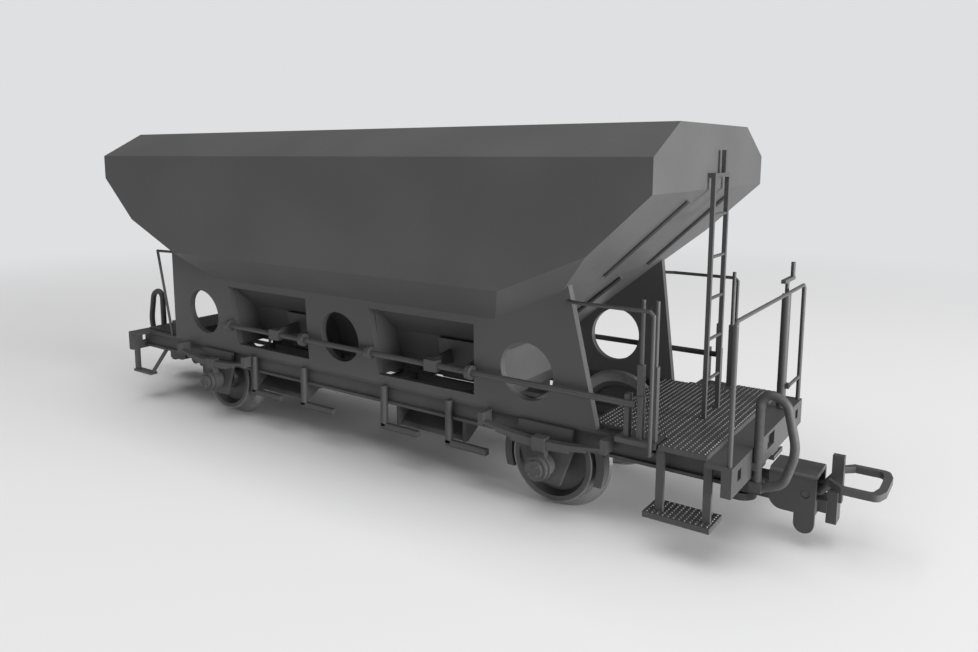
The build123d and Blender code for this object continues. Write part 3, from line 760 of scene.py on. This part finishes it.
class WAGON_OT_deck_studs(bpy.types.Operator):
    """Cover decks and steps with rows of small studs"""

    bl_idname = "wagon.deck_studs"
    bl_label = "Stud Decks"

    def execute(self, context):
        s = context.scene.wagon_deck
        colours = context.scene.wagon_finish
        material = moulded_plastic("deck plastic", colours.underframe, colours.roughness, 0.0)
        edge = moulded_plastic("deck stud plastic", shade(colours.underframe, 1.35), 0.45, 0.0)
        paint(DECK_NODES, material)
        tree, ids = stud_field_tree()

        def field(x0, x1, y0, y1, z):
            length = x1 - x0 - 2 * s.margin
            width = y1 - y0 - 2 * s.margin
            values = {
                "Length": length,
                "Width": width,
                "Rows": max(2, round(length / s.pitch) + 1),
                "Columns": max(2, round(width / s.pitch) + 1),
                "Stud Radius": s.radius,
                "Stud Height": s.height + STUD_SINK,
                "Material": edge,
            }
            middle = Vector(((x0 + x1) / 2, (y0 + y1) / 2, z - STUD_SINK))
            return grow(tree, ids, values), Matrix.Translation(middle)

        low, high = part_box("platform_deck")
        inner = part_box("rear_deck")[1].y
        shoulder = high.x - WIDE_DECK
        top = high.z
        fields = [
            field(low.x, shoulder, -inner, inner, top),
            field(shoulder, high.x, low.y, high.y, top),
        ]
        seat("platform_studs", fields, "frame", edge)
        low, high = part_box("rear_deck")
        fields = [field(low.x, high.x, low.y, high.y, high.z)]
        seat("rear_deck_studs", fields, "frame", edge)
        for side in ("left", "right"):
            low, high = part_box("step_" + side)
            fields = [field(low.x, high.x, low.y, high.y, low.z + STEP_PLATE)]
            seat("step_studs_" + side, fields, "frame", edge)
        return {"FINISHED"}


class WAGON_OT_slope_ribs(bpy.types.Operator):
    """Lay two long ribs on each end slope and a short one below"""

    bl_idname = "wagon.slope_ribs"
    bl_label = "Rib Slopes"

    def execute(self, context):
        s = context.scene.wagon_ribs
        colours = context.scene.wagon_finish
        # Painted shade: the ribs take the hopper's own colour darkened to 0.82, standing in for the shade
        # that falls along the ribs on the end slopes
        material = moulded_plastic("rib plastic with painted shade", shade(colours.hopper, 0.82), colours.roughness, 0.0)
        tree, ids = rib_row_tree()
        for end, name in ((1, "front"), (-1, "rear")):
            low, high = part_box("hopper_end_" + name)
            tip = high.x if end > 0 else low.x
            step = Vector((0, s.step, 0))
            sink = Vector((end * RIB_SINK, 0, -RIB_SINK))
            rows = ((LONG_RIB, s.first, s.count), (SHORT_RIB, SHORT_RIB_SIDE, 1))
            meshes = []
            for ends, side, count in rows:
                head, foot = (Vector((tip - end * inset, side, height)) + sink for inset, height in ends)
                values = {
                    "Foot": foot,
                    "Head": head,
                    "Step": step,
                    "Count": count,
                    "Rib Width": s.width,
                    "Material": material,
                }
                meshes.append((grow(tree, ids, values), Matrix.Identity(4)))
            seat("slope_ribs_" + name, meshes, "frame", material)
        return {"FINISHED"}


class WAGON_OT_links(bpy.types.Operator):
    """Hang the flat link bars of the discharge gear on both solebars"""

    bl_idname = "wagon.links"
    bl_label = "Hang Links"

    def execute(self, context):
        s = context.scene.wagon_links
        colours = context.scene.wagon_finish
        material = moulded_plastic("link plastic", shade(colours.underframe, 1.25), colours.roughness, 0.0)
        tree, ids = rib_row_tree()
        for side, name in ((-1, "right"), (1, "left")):
            low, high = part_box("solebar_" + name)
            face = low.y if side < 0 else high.y
            y = face + side * (s.width / 2 - LINK_SINK)
            top = high.z - LINK_INSET
            bottom = top - s.drop
            along = -side
            meshes = []
            for start in LINK_STARTS:
                x = along * start
                step = Vector((along * s.step, 0, 0))
                bars = (
                    (Vector((x, y, bottom)), Vector((x, y, top))),
                    (
                        Vector((x - along * s.width / 2, y, bottom)),
                        Vector((x + along * s.foot, y, bottom)),
                    ),
                )
                for foot, head in bars:
                    values = {
                        "Foot": foot,
                        "Head": head,
                        "Step": step,
                        "Count": 2,
                        "Rib Width": s.width,
                        "Material": material,
                    }
                    meshes.append((grow(tree, ids, values), Matrix.Identity(4)))
            seat("links_" + name, meshes, "frame", material)
        return {"FINISHED"}


class WAGON_OT_bolts(bpy.types.Operator):
    """Set a ring of bolts on each axlebox cover"""

    bl_idname = "wagon.bolts"
    bl_label = "Bolt Axleboxes"

    def execute(self, context):
        s = context.scene.wagon_bolts
        colours = context.scene.wagon_finish
        material = drawn_wire("bolt metal", shade(colours.underframe, 1.5), 0.36)
        tree, ids = bolt_ring_tree()
        values = {
            "Count": BOLT_COUNT,
            "Ring Radius": s.ring,
            "Bolt Radius": s.radius,
            "Bolt Height": s.height,
            "Material": material,
        }
        ring = grow(tree, ids, values)
        low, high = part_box("axleboxes")
        placed = []
        for name in ("axle_front", "axle_rear"):
            a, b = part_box(name)
            for side in (1, -1):
                spot = Vector(((a.x + b.x) / 2, side * (high.y - BOLT_SINK), (a.z + b.z) / 2))
                turn = Matrix.Rotation(math.radians(-90 * side), 4, "X")
                spin = Matrix.Rotation(math.radians(45), 4, "Z")
                placed.append((ring, Matrix.Translation(spot) @ turn @ spin))
        seat("axlebox_bolts", placed, "frame", material)
        return {"FINISHED"}


class WAGON_OT_stage(bpy.types.Operator):
    """Set the floor, background, lamps and camera"""

    bl_idname = "wagon.stage"
    bl_label = "Set Stage"

    def execute(self, context):
        s = context.scene.wagon_stage
        scene = context.scene
        scene.view_settings.view_transform = "Standard"
        ground = bpy.data.meshes.new("floor")
        whole = bmesh.new()
        bmesh.ops.create_grid(whole, x_segments=8, y_segments=8, size=FLOOR_HALF)
        whole.to_mesh(ground)
        whole.free()
        floor = bpy.data.objects.new("floor", ground)
        scene.collection.objects.link(floor)
        paper = Surface("floor paper")
        tone = paper.mix(paper.noise(0.3), shade(s.floor, 0.985), s.floor)
        paper.feed("Base Color", tone)
        paper.shader.inputs["Roughness"].default_value = 0.85
        paper.shader.inputs["Specular IOR Level"].default_value = 0.1
        far = (paper.x * paper.x + paper.y * paper.y) ** 0.5
        rays = paper.tree.nodes.new("ShaderNodeLightPath")
        fade = far.above(s.fade_start, s.fade_end) * Channel(paper.tree, rays.outputs["Is Camera Ray"])
        glow = paper.tree.nodes.new("ShaderNodeEmission")
        glow.inputs["Color"].default_value = (*s.sky, 1)
        blend = paper.tree.nodes.new("ShaderNodeMixShader")
        paper.tree.links.new(fade.socket, blend.inputs[0])
        paper.tree.links.new(paper.shader.outputs[0], blend.inputs[1])
        paper.tree.links.new(glow.outputs[0], blend.inputs[2])
        paper.tree.links.new(blend.outputs[0], paper.tree.nodes["Material Output"].inputs["Surface"])
        ground.materials.append(paper.material)
        world = bpy.data.worlds.new("studio")
        scene.world = world
        world.use_nodes = True
        tree = world.node_tree
        light = tree.nodes["Background"]
        light.inputs["Color"].default_value = (1, 1, 1, 1)
        light.inputs["Strength"].default_value = s.fill
        seen = tree.nodes.new("ShaderNodeBackground")
        seen.inputs["Color"].default_value = (*s.sky, 1)
        rays = tree.nodes.new("ShaderNodeLightPath")
        pick = tree.nodes.new("ShaderNodeMixShader")
        tree.links.new(rays.outputs["Is Camera Ray"], pick.inputs[0])
        tree.links.new(light.outputs[0], pick.inputs[1])
        tree.links.new(seen.outputs[0], pick.inputs[2])
        tree.links.new(pick.outputs[0], tree.nodes["World Output"].inputs["Surface"])
        lamps = (
            ("key lamp", *KEY_LAMP, s.key),
            ("top lamp", *TOP_LAMP, s.top),
        )
        for name, place, size, power in lamps:
            lamp = bpy.data.lights.new(name, "AREA")
            lamp.shape = "RECTANGLE"
            lamp.size, lamp.size_y = size
            lamp.energy = power
            stand = bpy.data.objects.new(name, lamp)
            scene.collection.objects.link(stand)
            stand.location = place
            aim = LAMP_AIM - Vector(place)
            stand.rotation_euler = aim.to_track_quat("-Z", "Y").to_euler()
        lens = bpy.data.cameras.new("camera")
        lens.sensor_width = SENSOR_WIDTH
        lens.lens = CAMERA_FOCUS * SENSOR_WIDTH
        lens.shift_x, lens.shift_y = CAMERA_SHIFT
        lens.clip_start = 0.001
        camera = bpy.data.objects.new("camera", lens)
        scene.collection.objects.link(camera)
        camera.location = CAMERA_PLACE
        camera.rotation_euler = (math.radians(CAMERA_TILT), 0, math.radians(CAMERA_TURN))
        scene.camera = camera
        return {"FINISHED"}


class WAGON_PT_panel(bpy.types.Panel):
    """Lists the steps that finish the wagon"""

    bl_label = "Wagon"
    bl_idname = "WAGON_PT_panel"
    bl_space_type = "VIEW_3D"
    bl_region_type = "UI"
    bl_category = "Wagon"

    def draw(self, context):
        layout = self.layout
        for group in GROUPS:
            settings = getattr(context.scene, group)
            column = layout.column(align=True)
            for name in settings.bl_rna.properties.keys():
                if name not in ("rna_type", "name"):
                    column.prop(settings, name)
        for operator in OPERATORS:
            layout.operator(operator.bl_idname)


GROUPS = {
    "wagon_finish": WAGON_PG_finish,
    "wagon_deck": WAGON_PG_deck,
    "wagon_ribs": WAGON_PG_ribs,
    "wagon_links": WAGON_PG_links,
    "wagon_bolts": WAGON_PG_bolts,
    "wagon_stage": WAGON_PG_stage,
}
OPERATORS = (
    WAGON_OT_stage,
    WAGON_OT_hopper,
    WAGON_OT_underframe,
    WAGON_OT_fittings,
    WAGON_OT_wheels,
    WAGON_OT_couplers,
    WAGON_OT_deck_studs,
    WAGON_OT_slope_ribs,
    WAGON_OT_links,
    WAGON_OT_bolts,
)


def register():
    for name, group in GROUPS.items():
        bpy.utils.register_class(group)
        setattr(bpy.types.Scene, name, bpy.props.PointerProperty(type=group))
    for operator in OPERATORS:
        bpy.utils.register_class(operator)
    bpy.utils.register_class(WAGON_PT_panel)


def unregister():
    bpy.utils.unregister_class(WAGON_PT_panel)
    for operator in reversed(OPERATORS):
        bpy.utils.unregister_class(operator)
    for name, group in reversed(list(GROUPS.items())):
        delattr(bpy.types.Scene, name)
        bpy.utils.unregister_class(group)


def main():
    register()
    bpy.ops.wagon.stage()
    bpy.ops.wagon.hopper()
    bpy.ops.wagon.underframe()
    bpy.ops.wagon.fittings()
    bpy.ops.wagon.wheels()
    bpy.ops.wagon.couplers()
    bpy.ops.wagon.deck_studs()
    bpy.ops.wagon.slope_ribs()
    bpy.ops.wagon.links()
    bpy.ops.wagon.bolts()
    bpy.context.view_layer.update()


if __name__ == "__main__":
    main()
